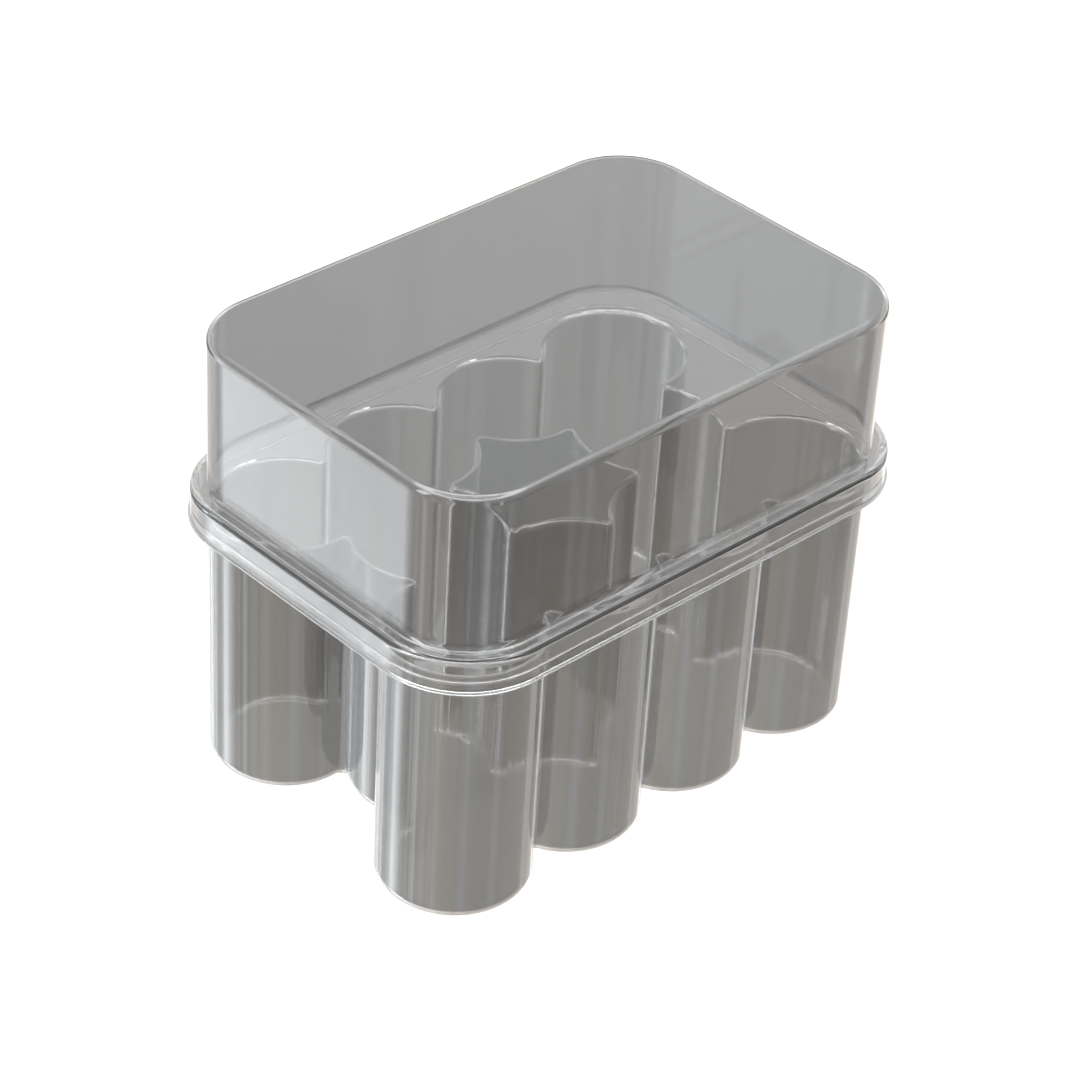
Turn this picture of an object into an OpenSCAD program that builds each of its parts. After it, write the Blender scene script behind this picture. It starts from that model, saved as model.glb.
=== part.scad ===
/* [Wells] */
// Inside diameter of one well, a 15 mm vial with room to lift it out
well_d = 16.2; // [15.2:0.1:17.6]
// Distance between the axes of two wells side by side
well_pitch = 16; // [15:0.1:17.4]
// Depth of the wells, from the top of the flange to the inside of the floor
well_depth = 32.2; // [20:0.1:45]
// Inside radius between a well's wall and its floor
floor_r = 1; // [0.4:0.1:3]
// Radius left on the flat tip of each web, between two wells
web_nose = 0.35; // [0.1:0.05:0.8]

/* [Sheet] */
// Thickness of the formed clear sheet
sheet_t = 0.4; // [0.25:0.05:0.7]
// Inside radius where the sheet bends over from a well to the flange
bend_r = 0.25; // [0.1:0.05:1]
// Flat width of the flange outside the corner wells' bends
flange_flat = 1.15; // [0.7:0.05:4]

/* [Lid] */
// Height of the lid's top above the top of the flange
lid_rise = 20.9; // [12:0.1:40]
// How far the lid's wall stands outside the wells' inside faces
lid_ease = 0.1; // [0:0.05:0.6]
// Outside radius along the lid's top edge
lid_edge_r = 0.9; // [0.8:0.1:4]

/* [Bead] */
// Height of the bead round the lid's mouth
bead_h = 4; // [3.6:0.1:6]
// How far the bead's lower edge reaches below the top of the flange
bead_drop = 1.3; // [0.9:0.1:1.8]
// Outside radius along the bead's upper edge
bead_edge_r = 0.7; // [0.5:0.05:0.9]
// Radius in the corner between the lid's wall and the bead
bead_root_r = 0.5; // [0.2:0.05:0.7]
// Clearance between the bead and the flange's edge
fit_gap = 0.1; // [0.05:0.05:0.3]
// Width of the inner ledge that rests on the flange
ledge_w = 0.3; // [0.2:0.05:0.6]
// How far the lip turns out along the bead's lower edge
lip_out = 0.25; // [0.1:0.05:0.5]

/* [Hidden] */
$fn = 96;

// Plan of the wells: two outer rows of four, and one well at each end of the middle row
row_step = well_pitch * sqrt(3) / 2;
function spot(column, row) = [column * well_pitch, row * row_step];
WELLS = [
    for (row = [-1, 1], column = [-1.5, -0.5, 0.5, 1.5]) spot(column, row),
    spot(-1, 0),
    spot(1, 0)
];

// Sizes that follow from the ones above
well_r = well_d / 2;
rim_r = bend_r + sheet_t;
tip_r = rim_r + web_nose;
tray_h = sheet_t + well_depth;
corner_x = 1.5 * well_pitch;
corner_y = row_step;
flange_r = well_r + rim_r + flange_flat;
lid_h = tray_h + lid_rise;
wall_r = well_r + lid_ease + sheet_t;
bead_r = flange_r + fit_gap + sheet_t;
bead_bottom = tray_h - bead_drop;
bead_top = bead_bottom + bead_h;
lip_edge = sheet_t / 2;

// How far a cutting shape runs past the face it cuts
spill = 1;
// How far a tip reaches into its wells, so that their faces cross instead of only touching
meet = 0.015;

// Centre of the rounded tip that stands between wells a and b, on the right of the way from a to b
function tip_centre(a, b) =
    let (
        way = (b - a) / norm(b - a),
        reach = sqrt(pow(well_r + tip_r - meet, 2) - pow(norm(b - a) / 2, 2))
    )
    (a + b) / 2 + reach * [way[1], -way[0]];

// Half section of one well, grown outward by the sheet for the outer face
module well_section(grow) {
    r = well_r + grow;
    bend = rim_r - grow;
    foot = floor_r + grow;
    bottom = sheet_t - grow;
    top = tray_h - grow;
    difference() {
        translate([0, bottom])
            square([r + bend, top - bottom + (grow > 0 ? grow / 2 : spill)]);
        translate([r, bottom - spill])
            square([bend + spill, top - bend - bottom + spill]);
        translate([r + bend, top - bend])
            circle(bend);
        difference() {
            translate([r - foot, bottom - spill])
                square([foot + spill, foot + spill]);
            translate([r - foot, bottom + foot])
                circle(foot);
        }
    }
}

// Half section of the rounded tip between two wells
module tip_section(grow) {
    r = tip_r - grow;
    bend = rim_r - grow;
    foot = floor_r + grow;
    bottom = sheet_t - grow;
    top = tray_h - grow;
    difference() {
        translate([0, bottom - spill])
            square([r + foot, top - bottom + 2 * spill]);
        translate([r, bottom + foot])
            square([foot + spill, top - bottom + spill]);
        translate([r + foot, bottom + foot])
            circle(foot);
        difference() {
            translate([r - bend, top - bend])
                square([bend + spill, bend]);
            translate([r - bend, top - bend])
                circle(bend);
        }
        translate([r - bend, top])
            square([bend + spill, 2 * spill]);
    }
}

// Space between wells that touch, out to the rounded tips round it
module between(outline, tips, grow) {
    bottom = sheet_t - grow;
    top = tray_h - grow;
    difference() {
        translate([0, 0, bottom])
            linear_extrude(top - bottom + (grow > 0 ? grow / 2 : spill))
                polygon(outline);
        for (tip = tips)
            translate([tip[0], tip[1], 0])
                rotate_extrude()
                    tip_section(grow);
    }
}

// All ten wells and the ways between them, as one solid
module wells(grow) {
    for (place = WELLS)
        translate([place[0], place[1], 0])
            rotate_extrude()
                well_section(grow);
    for (side = [0, 180])
        rotate([0, 0, side]) {
            a = spot(-0.5, -1);
            b = spot(0.5, -1);
            out = tip_centre(a, b);
            in = tip_centre(b, a);
            between([a, out, b, in], [out, in], grow);
        }
    for (flip_x = [0, 1], flip_y = [0, 1])
        mirror([flip_x, 0, 0])
            mirror([0, flip_y, 0]) {
                a = spot(-1.5, -1);
                b = spot(-0.5, -1);
                c = spot(-1, 0);
                ab = tip_centre(a, b);
                bc = tip_centre(b, c);
                ca = tip_centre(c, a);
                between([a, ab, b, bc, c, ca], [ab, bc, ca], grow);
            }
}

// Half section of the lid from outside, drawn outward from the corner centres
module lid_outside() {
    difference() {
        translate([0, bead_bottom])
            square([wall_r, lid_h - bead_bottom]);
        difference() {
            translate([wall_r - lid_edge_r, lid_h - lid_edge_r])
                square(lid_edge_r + spill);
            translate([wall_r - lid_edge_r, lid_h - lid_edge_r])
                circle(lid_edge_r);
        }
    }
    difference() {
        translate([0, bead_bottom])
            square([bead_r, bead_h]);
        difference() {
            translate([bead_r - bead_edge_r, bead_top - bead_edge_r])
                square(bead_edge_r + spill);
            translate([bead_r - bead_edge_r, bead_top - bead_edge_r])
                circle(bead_edge_r);
        }
    }
    difference() {
        translate([wall_r - bead_root_r, bead_top - bead_root_r])
            square(2 * bead_root_r);
        translate([wall_r + bead_root_r, bead_top + bead_root_r])
            circle(bead_root_r);
    }
    lip_section(bead_r);
}

// The turned-out lip at the foot of a wall that stands at radius r
module lip_section(r) {
    translate([0, bead_bottom])
        difference() {
            square([r + lip_out, lip_edge + lip_out]);
            translate([r + lip_out, lip_edge + lip_out])
                circle(lip_out);
        }
}

// Half section of the space inside the lid
module lid_inside() {
    inner_r = wall_r - sheet_t;
    edge_r = lid_edge_r - sheet_t;
    ceiling = lid_h - sheet_t;
    shelf = bead_top - sheet_t;
    difference() {
        translate([0, bead_bottom - spill])
            square([inner_r, ceiling - bead_bottom + spill]);
        difference() {
            translate([inner_r - edge_r, ceiling - edge_r])
                square(edge_r + spill);
            translate([inner_r - edge_r, ceiling - edge_r])
                circle(edge_r);
        }
    }
    translate([0, tray_h - spill])
        square([flange_r - ledge_w, shelf - tray_h + spill]);
    difference() {
        translate([inner_r - spill, shelf - spill])
            square(spill + bead_root_r + sheet_t);
        translate([wall_r + bead_root_r, bead_top + bead_root_r])
            circle(bead_root_r + sheet_t);
    }
    translate([0, bead_bottom - spill])
        square([flange_r + fit_gap, tray_h - bead_bottom + spill]);
    lip_section(flange_r + fit_gap);
}

// Solid over the container's plan, from a half section that is full at its inner edge
module round_box(bottom, top) {
    for (flip_x = [0, 1], flip_y = [0, 1])
        mirror([flip_x, 0, 0])
            mirror([0, flip_y, 0])
                translate([corner_x, corner_y, 0])
                    rotate_extrude(angle = 90)
                        children();
    for (flip = [0, 1])
        mirror([0, flip, 0])
            translate([-corner_x, corner_y, 0])
                rotate([90, 0, 90])
                    linear_extrude(2 * corner_x)
                        children();
    for (flip = [0, 1])
        mirror([flip, 0, 0])
            translate([corner_x, corner_y, 0])
                rotate([90, 0, 0])
                    linear_extrude(2 * corner_y)
                        children();
    translate([-corner_x, -corner_y, bottom])
        cube([2 * corner_x, 2 * corner_y, top - bottom]);
}

module well_tray() {
    color([0.86, 0.87, 0.87, 0.5])
        difference() {
            union() {
                wells(sheet_t);
                flange_plate();
            }
            wells(0);
        }
}

module flange_plate() {
    round_box(tray_h - sheet_t, tray_h)
        translate([0, tray_h - sheet_t])
            square([flange_r, sheet_t]);
}

module lid() {
    color([0.9, 0.91, 0.91, 0.4])
        difference() {
            round_box(bead_bottom, lid_h)
                lid_outside();
            round_box(bead_bottom - spill, lid_h - sheet_t)
                lid_inside();
        }
}

well_tray();
lid();
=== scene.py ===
import math
import bpy
import bmesh
from mathutils import Matrix, Vector


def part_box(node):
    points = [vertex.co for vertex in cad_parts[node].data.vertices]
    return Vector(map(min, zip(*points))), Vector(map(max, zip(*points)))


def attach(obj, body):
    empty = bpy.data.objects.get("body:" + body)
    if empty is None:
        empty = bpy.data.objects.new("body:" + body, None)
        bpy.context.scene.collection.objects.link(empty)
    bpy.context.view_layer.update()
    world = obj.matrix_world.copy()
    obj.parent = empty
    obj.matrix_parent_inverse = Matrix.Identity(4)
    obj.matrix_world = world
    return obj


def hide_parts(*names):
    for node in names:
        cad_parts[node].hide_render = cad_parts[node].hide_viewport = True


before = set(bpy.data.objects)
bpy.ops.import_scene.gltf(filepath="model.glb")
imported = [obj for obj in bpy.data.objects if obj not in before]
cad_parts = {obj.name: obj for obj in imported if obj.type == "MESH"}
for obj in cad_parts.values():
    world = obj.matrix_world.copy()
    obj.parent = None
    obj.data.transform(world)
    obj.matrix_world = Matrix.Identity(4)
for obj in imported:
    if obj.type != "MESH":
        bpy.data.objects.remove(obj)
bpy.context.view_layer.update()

mm = 0.001


def linked(name, data):
    obj = bpy.data.objects.new(name, data)
    bpy.context.scene.collection.objects.link(obj)
    return obj


def around(centre, radius, start, sweep, steps, outwardSign):
    # points on an arc, each with the direction that leads out of the pocket
    points = []
    for i in range(steps + 1):
        angle = start + sweep * i / steps
        ray = Vector((math.cos(angle), math.sin(angle), 0))
        points.append((centre + radius * ray, outwardSign * ray))
    return points


def pocketLoop(wells, sizes):
    # follows the wall past each well in turn, with a rounded tip between two wells
    r = sizes["wellRadius"]
    tipRadius = sizes["rimBend"] + sizes["webNose"]
    tips = []
    for a, b in zip(wells, wells[1:] + wells[:1]):
        way = (b - a).normalized()
        reach = math.sqrt((r + tipRadius) ** 2 - ((b - a).length / 2) ** 2)
        tips.append((a + b) / 2 + reach * Vector((way.y, -way.x, 0)))
    loop = []
    for i, well in enumerate(wells):
        before, after = tips[i - 1], tips[i]
        start = math.atan2(before.y - well.y, before.x - well.x)
        sweep = (math.atan2(after.y - well.y, after.x - well.x) - start) % math.tau
        steps = max(2, round(math.degrees(sweep) / sizes["arcStep"]))
        loop += around(well, r, start, sweep, steps, 1)[:-1]
        nextWell = wells[(i + 1) % len(wells)]
        start = math.atan2(well.y - after.y, well.x - after.x)
        turn = (start - math.atan2(nextWell.y - after.y, nextWell.x - after.x)) % math.tau
        loop += around(after, tipRadius, start, -turn, sizes["tipSteps"], -1)[:-1]
    return loop


def roundedLoop(halfLength, halfWidth, radius, step):
    # rounded rectangle whose corners are centred on (halfLength, halfWidth)
    loop = []
    steps = round(90 / step)
    for quarter, (x, y) in enumerate(((1, 1), (-1, 1), (-1, -1), (1, -1))):
        centre = Vector((x * halfLength, y * halfWidth, 0))
        loop += around(centre, radius, quarter * math.pi / 2, math.pi / 2, steps, 1)
    return loop


def outlineObject(name, loops):
    # loops is a list of (points, isTrim): a trim loop gets the sheet's cut edge
    verts, edges, outward, trim = [], [], [], []
    for points, isTrim in loops:
        first = len(verts)
        for i, (place, direction) in enumerate(points):
            verts.append(place)
            outward.append(direction)
            trim.append(isTrim)
            edges.append((first + i, first + (i + 1) % len(points)))
    mesh = bpy.data.meshes.new(name)
    mesh.from_pydata(verts, edges, [])
    ways = mesh.attributes.new("outward", "FLOAT_VECTOR", "POINT")
    ways.data.foreach_set("vector", [c for way in outward for c in way])
    mesh.attributes.new("trim", "BOOLEAN", "POINT").data.foreach_set("value", trim)
    return linked(name, mesh)


def sectionObject(name, lines):
    # each line is a list of (out, height, bend radius), and long straight runs get a point beside each bend
    support = 0.15 * mm

    def beside(here, bend, other):
        run = Vector((other[0], other[1], 0)) - here
        if bend > 0 and run.length > bend + other[2] + 3 * support:
            return [(here + run.normalized() * (bend + support), 0)]
        return []

    verts, edges, bends = [], [], []
    for line in lines:
        places = []
        for i, (out, height, bend) in enumerate(line):
            here = Vector((out, height, 0))
            if i > 0:
                places += beside(here, bend, line[i - 1])
            places.append((here, bend))
            if i < len(line) - 1:
                places += beside(here, bend, line[i + 1])
        first = len(verts)
        for i, (place, bend) in enumerate(places):
            verts.append(place)
            bends.append(bend)
            if i > 0:
                edges.append((first + i - 1, first + i))
    mesh = bpy.data.meshes.new(name)
    mesh.from_pydata(verts, edges, [])
    mesh.attributes.new("bend", "FLOAT", "POINT").data.foreach_set("value", bends)
    return linked(name, mesh)


def formedSheetTree(name, levelNames):
    # sweeps a bent section along the outlines and closes the flat faces at each named level
    levelTolerance, weldDistance = 0.02 * mm, 0.002 * mm
    tree = bpy.data.node_groups.new(name, "GeometryNodeTree")
    face = tree.interface
    face.new_socket("Outline", in_out="INPUT", socket_type="NodeSocketGeometry")
    face.new_socket("Wall Section", in_out="INPUT", socket_type="NodeSocketObject")
    face.new_socket("Trim Section", in_out="INPUT", socket_type="NodeSocketObject")
    face.new_socket("Bend Steps", in_out="INPUT", socket_type="NodeSocketInt")
    for level in levelNames:
        face.new_socket(level, in_out="INPUT", socket_type="NodeSocketFloat")
    face.new_socket("Finish", in_out="INPUT", socket_type="NodeSocketMaterial")
    face.new_socket("Sheet", in_out="OUTPUT", socket_type="NodeSocketGeometry")
    nodes, links = tree.nodes, tree.links
    entry = nodes.new("NodeGroupInput")
    leave = nodes.new("NodeGroupOutput")

    def node(kind, **settings):
        made = nodes.new(kind)
        for key, value in settings.items():
            setattr(made, key, value)
        return made

    def join(output, socket):
        links.new(output, socket)

    def named(attribute, dataType):
        reader = node("GeometryNodeInputNamedAttribute", data_type=dataType)
        reader.inputs["Name"].default_value = attribute
        return reader.outputs["Attribute"]

    outward = named("outward", "FLOAT_VECTOR")
    split = node("GeometryNodeSeparateGeometry", domain="POINT")
    join(entry.outputs["Outline"], split.inputs["Geometry"])
    join(named("trim", "BOOLEAN"), split.inputs["Selection"])

    def swept(outline, sectionSocket):
        path = node("GeometryNodeMeshToCurve")
        join(outline, path.inputs["Mesh"])
        # every loop runs with the way out of the pocket on its left, so that a section stands upright
        cross = node("ShaderNodeVectorMath", operation="CROSS_PRODUCT")
        join(node("GeometryNodeInputTangent").outputs[0], cross.inputs[0])
        join(outward, cross.inputs[1])
        parts = node("ShaderNodeSeparateXYZ")
        join(cross.outputs["Vector"], parts.inputs[0])
        below = node("FunctionNodeCompare", operation="LESS_THAN")
        join(parts.outputs["Z"], below.inputs["A"])
        turned = node("GeometryNodeReverseCurve")
        join(path.outputs[0], turned.inputs["Curve"])
        join(below.outputs[0], turned.inputs["Selection"])
        upright = node("GeometryNodeSetCurveNormal", mode="FREE")
        join(turned.outputs[0], upright.inputs["Curve"])
        join(outward, upright.inputs["Normal"])
        source = node("GeometryNodeObjectInfo")
        join(sectionSocket, source.inputs["Object"])
        line = node("GeometryNodeMeshToCurve")
        join(source.outputs["Geometry"], line.inputs["Mesh"])
        rounded = node("GeometryNodeFilletCurve", mode="POLY")
        join(line.outputs[0], rounded.inputs["Curve"])
        join(entry.outputs["Bend Steps"], rounded.inputs["Count"])
        join(named("bend", "FLOAT"), rounded.inputs["Radius"])
        sweep = node("GeometryNodeCurveToMesh")
        join(upright.outputs[0], sweep.inputs["Curve"])
        join(rounded.outputs[0], sweep.inputs["Profile Curve"])
        return sweep.outputs[0]

    walls = node("GeometryNodeJoinGeometry")
    join(swept(split.outputs["Inverted"], entry.outputs["Wall Section"]), walls.inputs[0])
    join(swept(split.outputs["Selection"], entry.outputs["Trim Section"]), walls.inputs[0])
    smoothWalls = node("GeometryNodeSetShadeSmooth")
    join(walls.outputs[0], smoothWalls.inputs["Geometry"])

    whole = node("GeometryNodeJoinGeometry")
    join(smoothWalls.outputs[0], whole.inputs[0])
    place = node("GeometryNodeInputPosition")
    height = node("ShaderNodeSeparateXYZ")
    join(place.outputs[0], height.inputs[0])
    # an open edge of the walls has only one face
    rim = node("GeometryNodeInputMeshEdgeNeighbors")
    openEdge = node("FunctionNodeCompare", data_type="INT", operation="EQUAL")
    wholeNumbers = {socket.identifier: socket for socket in openEdge.inputs}
    join(rim.outputs[0], wholeNumbers["A_INT"])
    wholeNumbers["B_INT"].default_value = 1
    for level in levelNames:
        atLevel = node("FunctionNodeCompare", operation="EQUAL")
        join(height.outputs["Z"], atLevel.inputs["A"])
        join(entry.outputs[level], atLevel.inputs["B"])
        atLevel.inputs["Epsilon"].default_value = levelTolerance
        both = node("FunctionNodeBooleanMath", operation="AND")
        join(openEdge.outputs[0], both.inputs[0])
        join(atLevel.outputs[0], both.inputs[1])
        loops = node("GeometryNodeMeshToCurve")
        join(walls.outputs[0], loops.inputs["Mesh"])
        join(both.outputs[0], loops.inputs["Selection"])
        flat = node("GeometryNodeFillCurve", mode="TRIANGLES")
        join(loops.outputs[0], flat.inputs["Curve"])
        lift = node("ShaderNodeCombineXYZ")
        join(entry.outputs[level], lift.inputs["Z"])
        lifted = node("GeometryNodeSetPosition")
        join(flat.outputs[0], lifted.inputs["Geometry"])
        join(lift.outputs[0], lifted.inputs["Offset"])
        plain = node("GeometryNodeSetShadeSmooth")
        plain.inputs["Shade Smooth"].default_value = False
        join(lifted.outputs[0], plain.inputs["Geometry"])
        join(plain.outputs[0], whole.inputs[0])

    merged = node("GeometryNodeMergeByDistance")
    merged.inputs["Distance"].default_value = weldDistance
    join(whole.outputs[0], merged.inputs["Geometry"])
    real = node("GeometryNodeRealizeInstances")
    join(merged.outputs[0], real.inputs["Geometry"])
    finish = node("GeometryNodeSetMaterial")
    join(real.outputs[0], finish.inputs["Geometry"])
    join(entry.outputs["Finish"], finish.inputs["Material"])
    join(finish.outputs[0], leave.inputs["Sheet"])
    return tree


def formSheet(name, outline, wallSection, trimSection, levels, bendSteps, finish):
    doublesDistance = 0.001 * mm
    tree = formedSheetTree(name + "Form", list(levels))
    modifier = outline.modifiers.new("form", "NODES")
    modifier.node_group = tree
    values = {"Wall Section": wallSection, "Trim Section": trimSection,
              "Bend Steps": bendSteps, "Finish": finish, **levels}
    for item in tree.interface.items_tree:
        if item.in_out == "INPUT" and item.name in values:
            modifier[item.identifier] = values[item.name]
    depsgraph = bpy.context.evaluated_depsgraph_get()
    mesh = bpy.data.meshes.new_from_object(outline.evaluated_get(depsgraph))
    mesh.name = name
    outline.modifiers.remove(modifier)
    for helper in (outline, wallSection, trimSection):
        if helper is not None:
            bpy.data.objects.remove(helper)
    work = bmesh.new()
    work.from_mesh(mesh)
    bmesh.ops.remove_doubles(work, verts=work.verts, dist=doublesDistance)
    bmesh.ops.recalc_face_normals(work, faces=work.faces)
    if work.calc_volume(signed=True) < 0:
        bmesh.ops.reverse_faces(work, faces=work.faces)
    loose = sum(1 for edge in work.edges if len(edge.link_faces) != 2)
    print(name, "faces", len(work.faces), "open or doubled edges", loose,
          "volume mm3", round(work.calc_volume() / mm ** 3, 1))
    work.to_mesh(mesh)
    work.free()
    for attribute in ("outward", "trim", "bend"):
        if attribute in mesh.attributes:
            mesh.attributes.remove(mesh.attributes[attribute])
    return linked(name, mesh)


def mathNode(tree, operation, first, second):
    # first and second are each a number or another node's output
    made = tree.nodes.new("ShaderNodeMath")
    made.operation = operation
    for socket, value in zip(made.inputs, (first, second)):
        if isinstance(value, (int, float)):
            socket.default_value = value
        else:
            tree.links.new(value, socket)
    return made.outputs[0]


def mixedColour(tree, share, first, second):
    # first and second are each a colour or another node's output
    made = tree.nodes.new("ShaderNodeMix")
    made.data_type = "RGBA"
    sockets = {socket.identifier: socket for socket in made.inputs}
    tree.links.new(share, sockets["Factor_Float"])
    for socket, colour in ((sockets["A_Color"], first), (sockets["B_Color"], second)):
        if isinstance(colour, tuple):
            socket.default_value = (*colour, 1)
        else:
            tree.links.new(colour, socket)
    return {socket.identifier: socket for socket in made.outputs}["Result_Color"]


def mixedShader(tree, share, first, second):
    made = tree.nodes.new("ShaderNodeMixShader")
    for socket, source in zip(made.inputs, (share, first, second)):
        tree.links.new(source, socket)
    return made.outputs[0]


depthStep = 0.5   # parts a ray's depth of 0 from 1 and more


def clearSheet(name, look, beadTop=None):
    # up to the height beadTop the sheet is given a lighter colour, painted light that stands in for the
    # bead's highlights; a sheet without a bead gives none
    uprightBelow, levelAbove = 0.2, 0.9   # how far a face looks up or down
    mat = bpy.data.materials.new(name)
    mat.use_nodes = True
    tree = mat.node_tree
    nodes, links = tree.nodes, tree.links
    nodes.clear()

    def clear(colour):
        made = nodes.new("ShaderNodeBsdfTransparent")
        made.inputs["Color"].default_value = (*colour, 1)
        return made.outputs[0]

    # 1 on the upright walls, 0 on the level faces
    where = nodes.new("ShaderNodeTexCoord")
    facing = nodes.new("ShaderNodeSeparateXYZ")
    links.new(where.outputs["Normal"], facing.inputs[0])
    slope = nodes.new("ShaderNodeMapRange")
    slope.inputs["From Min"].default_value = levelAbove
    slope.inputs["From Max"].default_value = uprightBelow
    links.new(mathNode(tree, "ABSOLUTE", facing.outputs["Z"], 0), slope.inputs["Value"])
    upright = slope.outputs[0]

    # painted shade: the upright walls are given a darker colour than the level faces, standing in for the
    # object's own shadow seen through them; in a bead the colour is lighter, a painted highlight
    tintWithPaintedLight = mixedColour(tree, upright, look["levelTint"], look["shadedWallTint"])
    if beadTop is not None:
        height = nodes.new("ShaderNodeSeparateXYZ")
        links.new(where.outputs["Object"], height.inputs[0])
        aboveBead = mathNode(tree, "GREATER_THAN", height.outputs["Z"], beadTop)
        # below beadTop the lighter colour is a painted highlight
        tintWithPaintedLight = mixedColour(tree, aboveBead, look["litBeadTint"], tintWithPaintedLight)
    film = nodes.new("ShaderNodeBsdfPrincipled")
    film.inputs["Roughness"].default_value = look["roughness"]
    film.inputs["IOR"].default_value = look["ior"]
    film.inputs["Transmission Weight"].default_value = 1
    links.new(tintWithPaintedLight, film.inputs["Base Color"])

    # draw lines run down the walls where the sheet was stretched, and fade out on its level faces
    stretch = nodes.new("ShaderNodeMapping")
    stretch.inputs["Scale"].default_value = (1, 1, look["drawStretch"])
    links.new(where.outputs["Object"], stretch.inputs["Vector"])
    lines = nodes.new("ShaderNodeTexNoise")
    lines.inputs["Scale"].default_value = look["drawScale"]
    lines.inputs["Detail"].default_value = 2
    links.new(stretch.outputs[0], lines.inputs["Vector"])
    bump = nodes.new("ShaderNodeBump")
    bump.inputs["Strength"].default_value = 1
    bump.inputs["Distance"].default_value = look["drawDepth"]
    links.new(mathNode(tree, "MULTIPLY", lines.outputs["Fac"], upright), bump.inputs["Height"])
    links.new(bump.outputs[0], film.inputs["Normal"])

    # lamps and bounced light pass straight through the sheet, and so does light that another face has
    # mirrored, though light mirrored inside a sheet still has to bend on its way out
    paths = nodes.new("ShaderNodeLightPath")
    side = nodes.new("ShaderNodeNewGeometry")
    mirrored = mathNode(tree, "GREATER_THAN", paths.outputs["Glossy Depth"], depthStep)
    within = mathNode(tree, "LESS_THAN", paths.outputs["Transparent Depth"], depthStep)
    level = mathNode(tree, "SUBTRACT", 1, upright)
    bends = mathNode(tree, "MULTIPLY", within, mathNode(tree, "MAXIMUM", level, look["bendsOut"]))
    leaving = mathNode(tree, "MULTIPLY", side.outputs["Backfacing"], bends)
    passes = mathNode(tree, "MULTIPLY", mirrored, mathNode(tree, "SUBTRACT", 1, leaving))
    lamps = mathNode(tree, "MAXIMUM", paths.outputs["Is Shadow Ray"], paths.outputs["Is Diffuse Ray"])
    seen = mixedShader(tree, passes, film.outputs[0], clear(look["mirrorShade"]))
    out = nodes.new("ShaderNodeOutputMaterial")
    links.new(mixedShader(tree, lamps, seen, clear(look["shade"])), out.inputs["Surface"])
    return mat


print("well tray")
# one clear sheet drawn down into ten joined wells round a star post
traySheet = {
    "wellRadius": 8.1 * mm,
    "pitch": 16 * mm,
    "thickness": 0.4 * mm,
    "rimBend": 0.65 * mm,       # upper face, where a well's wall turns over to the flange
    "floorBend": 1.0 * mm,      # inner face, between a well's wall and its floor
    "webNose": 0.35 * mm,       # radius left on the flat tip of a web
    "flangeFlat": 1.15 * mm,
    "edgeRound": 0.06 * mm,     # the cut edge of the sheet
    "arcStep": 3.0,             # degrees between points along a well
    "tipSteps": 16,
    "bendSteps": 10,
    "levelTint": (0.54, 0.535, 0.525),
    # the walls' darker colour is painted shade, standing in for the shadow seen through them
    "shadedWallTint": (0.36, 0.352, 0.34),
    "roughness": 0.03,
    "ior": 1.78,
    "shade": (0.985, 0.985, 0.985),      # left of the light of lamps and floor, past one face
    "mirrorShade": (0.82, 0.83, 0.84),   # left of mirrored light, past one face
    "bendsOut": 0.5,            # share of the light mirrored inside a wall that bends on its way out
    "drawScale": 1400,
    "drawStretch": 0.002,
    "drawDepth": 0.018 * mm,
}
trayFinish = clearSheet("clearTraySheet", traySheet)
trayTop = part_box("well_tray")[1].z
rowStep = traySheet["pitch"] * math.sqrt(3) / 2


def wellAt(column, row):
    return Vector((column * traySheet["pitch"], row * rowStep, 0))


outerWells = [wellAt(c, -1) for c in (-1.5, -0.5, 0.5, 1.5)] + [wellAt(1, 0)]
outerWells += [wellAt(c, 1) for c in (1.5, 0.5, -0.5, -1.5)] + [wellAt(-1, 0)]
starWells = [wellAt(-0.5, -1), wellAt(-1, 0), wellAt(-0.5, 1)]
starWells += [wellAt(0.5, 1), wellAt(1, 0), wellAt(0.5, -1)]
flangeRadius = traySheet["wellRadius"] + traySheet["rimBend"] + traySheet["flangeFlat"]
cornerX, cornerY = 1.5 * traySheet["pitch"], rowStep
sheet = traySheet["thickness"]
rimBend, floorBend = traySheet["rimBend"], traySheet["floorBend"]
edge = traySheet["edgeRound"]
strip = 0.1 * mm   # how far a section runs on along a flat face
trayOutline = outlineObject("trayOutline", [
    (pocketLoop(outerWells, traySheet), False),
    (pocketLoop(starWells, traySheet), False),
    (roundedLoop(cornerX, cornerY, flangeRadius, traySheet["arcStep"]), True)])
wallSection = sectionObject("wallSection", [
    [(-floorBend - strip, sheet, 0),
     (0, sheet, floorBend),
     (0, trayTop, rimBend),
     (rimBend + strip, trayTop, 0)],
    [(-floorBend - strip, 0, 0),
     (sheet, 0, floorBend + sheet),
     (sheet, trayTop - sheet, rimBend - sheet),
     (rimBend + strip, trayTop - sheet, 0)]])
trimSection = sectionObject("trimSection", [[
    (-2 * strip, trayTop, 0),
    (0, trayTop, edge),
    (0, trayTop - sheet, edge),
    (-2 * strip, trayTop - sheet, 0)]])
tray = formSheet("clearTray", trayOutline, wallSection, trimSection,
                 {"Floor Inside": sheet, "Floor Underside": 0.0,
                  "Flange Top": trayTop, "Flange Underside": trayTop - sheet},
                 traySheet["bendSteps"], trayFinish)
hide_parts("well_tray")
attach(tray, "root")

print("lid")
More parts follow.
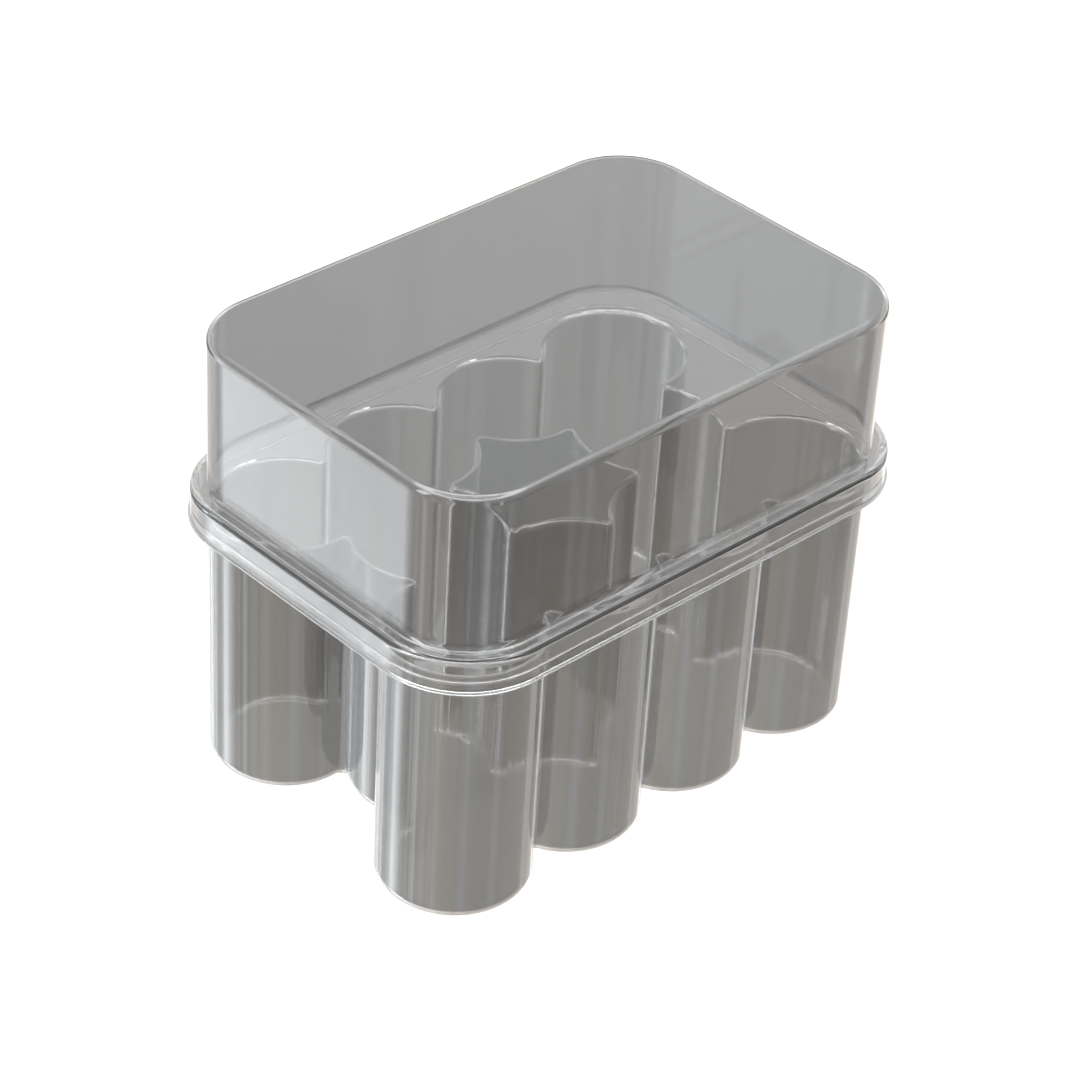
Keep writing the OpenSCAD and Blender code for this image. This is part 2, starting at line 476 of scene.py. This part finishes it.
# one clear sheet, as thick as the tray's, with a bead round its mouth
lidSheet = {
    "ease": 0.1 * mm,           # the lid's wall stands this far outside the wells' inside faces
    "topBend": 0.9 * mm,
    "beadHeight": 4.0 * mm,
    "beadEdge": 0.7 * mm,
    "beadRoot": 0.5 * mm,
    "fitGap": 0.1 * mm,
    "ledge": 0.3 * mm,
    "lip": 0.25 * mm,
    "lipBend": 0.2 * mm,
    "edgeRound": 0.06 * mm,
    "cornerStep": 3.0,          # degrees between points along a corner
    "bendSteps": 10,
    "levelTint": (0.55, 0.55, 0.55),
    # the walls' darker colour is painted shade, standing in for the shadow seen through them
    "shadedWallTint": (0.51, 0.505, 0.5),
    # the bead's lighter colour is a painted highlight
    "litBeadTint": (0.68, 0.675, 0.67),
    "roughness": 0.02,
    "ior": 1.5,
    "shade": (0.99, 0.99, 0.99),
    "mirrorShade": (0.9, 0.9, 0.9),
    "bendsOut": 1,
    "drawScale": 300,
    "drawStretch": 0.01,
    "drawDepth": 0,             # the lid's walls show no draw lines
}
lidLow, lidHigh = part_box("lid")
beadFoot, lidTop = lidLow[2], lidHigh[2]
beadTop = beadFoot + lidSheet["beadHeight"]
lidFinish = clearSheet("clearLidSheet", lidSheet, beadTop + lidSheet["beadRoot"])
# the section's places are measured outward from the wall's outer face
wallRadius = traySheet["wellRadius"] + lidSheet["ease"] + sheet
beadOut = flangeRadius + lidSheet["fitGap"] + sheet - wallRadius
skirtIn = beadOut - sheet
ledgeIn = flangeRadius - lidSheet["ledge"] - wallRadius
lip, lipBend, lipTop = lidSheet["lip"], lidSheet["lipBend"], beadFoot + sheet / 2
root, topBend = lidSheet["beadRoot"], lidSheet["topBend"]
edge = lidSheet["edgeRound"]
lidOutline = outlineObject("lidOutline", [
    (roundedLoop(cornerX, cornerY, wallRadius, lidSheet["cornerStep"]), False)])
lidSection = sectionObject("lidSection", [[
    (-topBend - strip, lidTop, 0),
    (0, lidTop, topBend),
    (0, beadTop, root),
    (beadOut, beadTop, lidSheet["beadEdge"]),
    (beadOut, lipTop, lipBend),
    (beadOut + lip, lipTop, edge / 2),
    (beadOut + lip, beadFoot, edge),
    (skirtIn + lip, beadFoot, edge),
    (skirtIn + lip, lipTop, edge / 2),
    (skirtIn, lipTop, lipBend),
    (skirtIn, trayTop, edge),
    (ledgeIn, trayTop, edge),
    (ledgeIn, beadTop - sheet, edge),
    (-sheet, beadTop - sheet, root + sheet),
    (-sheet, lidTop - sheet, topBend - sheet),
    (-topBend - strip, lidTop - sheet, 0)]])
lid = formSheet("clearLid", lidOutline, lidSection, None,
                {"Lid Top": lidTop, "Lid Ceiling": lidTop - sheet}, lidSheet["bendSteps"], lidFinish)
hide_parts("lid")
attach(lid, "root")

print("floor")
floorLook = {
    "size": 6.0,
    "colour": (0.93, 0.93, 0.93),
    "roughness": 0.9,
    "specular": 0.1,
}
bpy.ops.mesh.primitive_plane_add(size=floorLook["size"], location=(0, 0, 0))
floor = bpy.context.object
floor.name = "paleFloor"
floorMat = bpy.data.materials.new("paleFloor")
floorMat.use_nodes = True
floorShader = floorMat.node_tree.nodes["Principled BSDF"]
floorShader.inputs["Base Color"].default_value = (*floorLook["colour"], 1)
floorShader.inputs["Roughness"].default_value = floorLook["roughness"]
floorShader.inputs["Specular IOR Level"].default_value = floorLook["specular"]
floor.data.materials.append(floorMat)
floor.visible_glossy = False
floor.visible_transmission = False
floor.visible_shadow = False

print("studio")
cool, warm, pale = (0.93, 0.97, 1), (1, 0.93, 0.86), (0.97, 0.99, 1)
studioLook = {
    "backdrop": (1.05, 1.05, 1.05),   # what the camera sees behind the floor, and what lights the floor
    "seenThrough": (0.8, 0.8, 0.8),   # what the clear sheets let through from the room
    "frontAzimuth": 226.5,            # the walls' bands are placed from this direction
    "horizonBlend": 0.4,              # height of the direction where the walls have turned into the ceiling
    # the room's walls as the sheets mirror them: degrees round from the front, brightness and tone
    "walls": [
        (0, 1.0, warm),
        (14, 1.25, cool),
        (24, 0.95, warm),
        (50, 0.85, warm),
        (58, 1.1, cool),
        (68, 0.8, warm),
        (110, 0.75, warm),
        (118, 1.2, cool),
        (128, 0.9, warm),
        (147, 0.95, warm),
        (154, 2.2, cool),
        (161, 0.95, warm),
        (190, 0.9, warm),
        (197, 1.8, cool),
        (205, 0.9, warm),
        (232, 0.95, cool),
        (248, 1.2, cool),
        (256, 2.6, cool),
        (260, 4.2, cool),
        (267, 3.6, cool),
        (275, 1.8, cool),
        (283, 1.0, warm),
        (288, 1.4, cool),
        (294, 0.95, warm),
        (299, 2.2, cool),
        (305, 1.0, warm),
        (314, 1.4, cool),
        (321, 1.1, warm),
        (332, 1.5, warm),
        (345, 1.15, warm),
    ],
    # the ceiling as the rounded edges mirror it: height of the direction, brightness and tone
    "ceiling": [
        (0, 1.25, pale),
        (0.62, 1.25, pale),
        (0.8, 3, pale),
        (0.84, 8, pale),
        (0.91, 8, pale),
        (0.95, 2, pale),
    ],
    "lampAim": (0, 0, 0.03),
}


def skyLight(colour):
    made = sky.nodes.new("ShaderNodeBackground")
    made.inputs["Color"].default_value = (*colour, 1)
    return made.outputs[0]


def bandLight(source, bands, span):
    # a light whose brightness and tone change along the source's value, from 0 to span
    ramp = sky.nodes.new("ShaderNodeValToRGB")
    sky.links.new(source, ramp.inputs["Fac"])
    stops = ramp.color_ramp.elements
    peak = max(bright for place, bright, tone in bands)
    for i, (place, bright, tone) in enumerate(bands):
        stop = stops[i] if i < len(stops) else stops.new(place / span)
        stop.position = place / span
        stop.color = (*(bright / peak * c for c in tone), 1)
    light = sky.nodes.new("ShaderNodeBackground")
    sky.links.new(ramp.outputs["Color"], light.inputs["Color"])
    light.inputs["Strength"].default_value = peak
    return light.outputs[0]


def softbox(name, place, size, radiance, colour, mirrored):
    # a lamp that isn't mirrored still lights the floor, but the sheets don't show it
    light = bpy.data.lights.new(name, "AREA")
    light.shape = "RECTANGLE"
    light.size, light.size_y = size
    light.energy = radiance * math.pi * size[0] * size[1]
    light.color = colour
    lamp = linked(name, light)
    lamp.location = place
    way = Vector(studioLook["lampAim"]) - Vector(place)
    lamp.rotation_euler = way.to_track_quat("-Z", "Y").to_euler()
    lamp.visible_glossy = mirrored
    lamp.visible_transmission = mirrored


world = bpy.data.worlds.new("studio")
bpy.context.scene.world = world
world.use_nodes = True
world.cycles.sampling_method = "NONE"
sky = world.node_tree
sky.nodes.clear()
direction = sky.nodes.new("ShaderNodeTexCoord")
spread = sky.nodes.new("ShaderNodeSeparateXYZ")
sky.links.new(direction.outputs["Generated"], spread.inputs[0])
azimuth = mathNode(sky, "ARCTAN2", spread.outputs["Y"], spread.outputs["X"])
turned = mathNode(sky, "SUBTRACT", azimuth, math.radians(studioLook["frontAzimuth"]))
share = mathNode(sky, "FRACT", mathNode(sky, "DIVIDE", turned, math.tau), 0)
walls = bandLight(share, studioLook["walls"], 360)
ceiling = bandLight(spread.outputs["Z"], studioLook["ceiling"], 1)
climb = sky.nodes.new("ShaderNodeMapRange")
climb.interpolation_type = "SMOOTHSTEP"
climb.inputs["From Max"].default_value = studioLook["horizonBlend"]
sky.links.new(spread.outputs["Z"], climb.inputs["Value"])
mirroredRoom = mixedShader(sky, climb.outputs[0], walls, ceiling)
rays = sky.nodes.new("ShaderNodeLightPath")
reflected = mathNode(sky, "GREATER_THAN", rays.outputs["Glossy Depth"], depthStep)
room = mixedShader(sky, reflected, skyLight(studioLook["seenThrough"]), mirroredRoom)
plain = mathNode(sky, "MAXIMUM", rays.outputs["Is Camera Ray"], rays.outputs["Is Diffuse Ray"])
surround = mixedShader(sky, plain, room, skyLight(studioLook["backdrop"]))
skyOut = sky.nodes.new("ShaderNodeOutputWorld")
sky.links.new(surround, skyOut.inputs["Surface"])
softbox("leftSoftbox", place=(-0.6, 0.15, 0.32), size=(0.16, 0.5), radiance=6,
        colour=(0.94, 0.97, 1), mirrored=True)
softbox("topSoftbox", place=(0.1, 0.3, 0.9), size=(0.3, 0.3), radiance=14,
        colour=(1, 1, 1), mirrored=False)

print("camera")
viewLook = {
    "eye": (-0.21554, -0.21526, 0.23811),
    "aim": (0.0, 0.0, 0.0245),
    "rollDegrees": 3.52,
    "lens": 114,
    "sensorWidth": 36,
    "nearest": 0.01,
    "bounces": 32,   # a ray crosses many faces of clear sheet
}
cameraData = bpy.data.cameras.new("photoView")
cameraData.lens = viewLook["lens"]
cameraData.sensor_width = viewLook["sensorWidth"]
cameraData.sensor_fit = "HORIZONTAL"
cameraData.clip_start = viewLook["nearest"]
camera = linked("photoView", cameraData)
eye, aim = Vector(viewLook["eye"]), Vector(viewLook["aim"])
looking = (aim - eye).to_track_quat("-Z", "Y").to_matrix()
rolled = looking @ Matrix.Rotation(math.radians(viewLook["rollDegrees"]), 3, "Z")
camera.matrix_world = Matrix.Translation(eye) @ rolled.to_4x4()
bpy.context.scene.camera = camera
bpy.context.scene.view_settings.view_transform = "Standard"
cycles = bpy.context.scene.cycles
cycles.max_bounces = viewLook["bounces"]
cycles.transmission_bounces = viewLook["bounces"]
cycles.transparent_max_bounces = viewLook["bounces"]
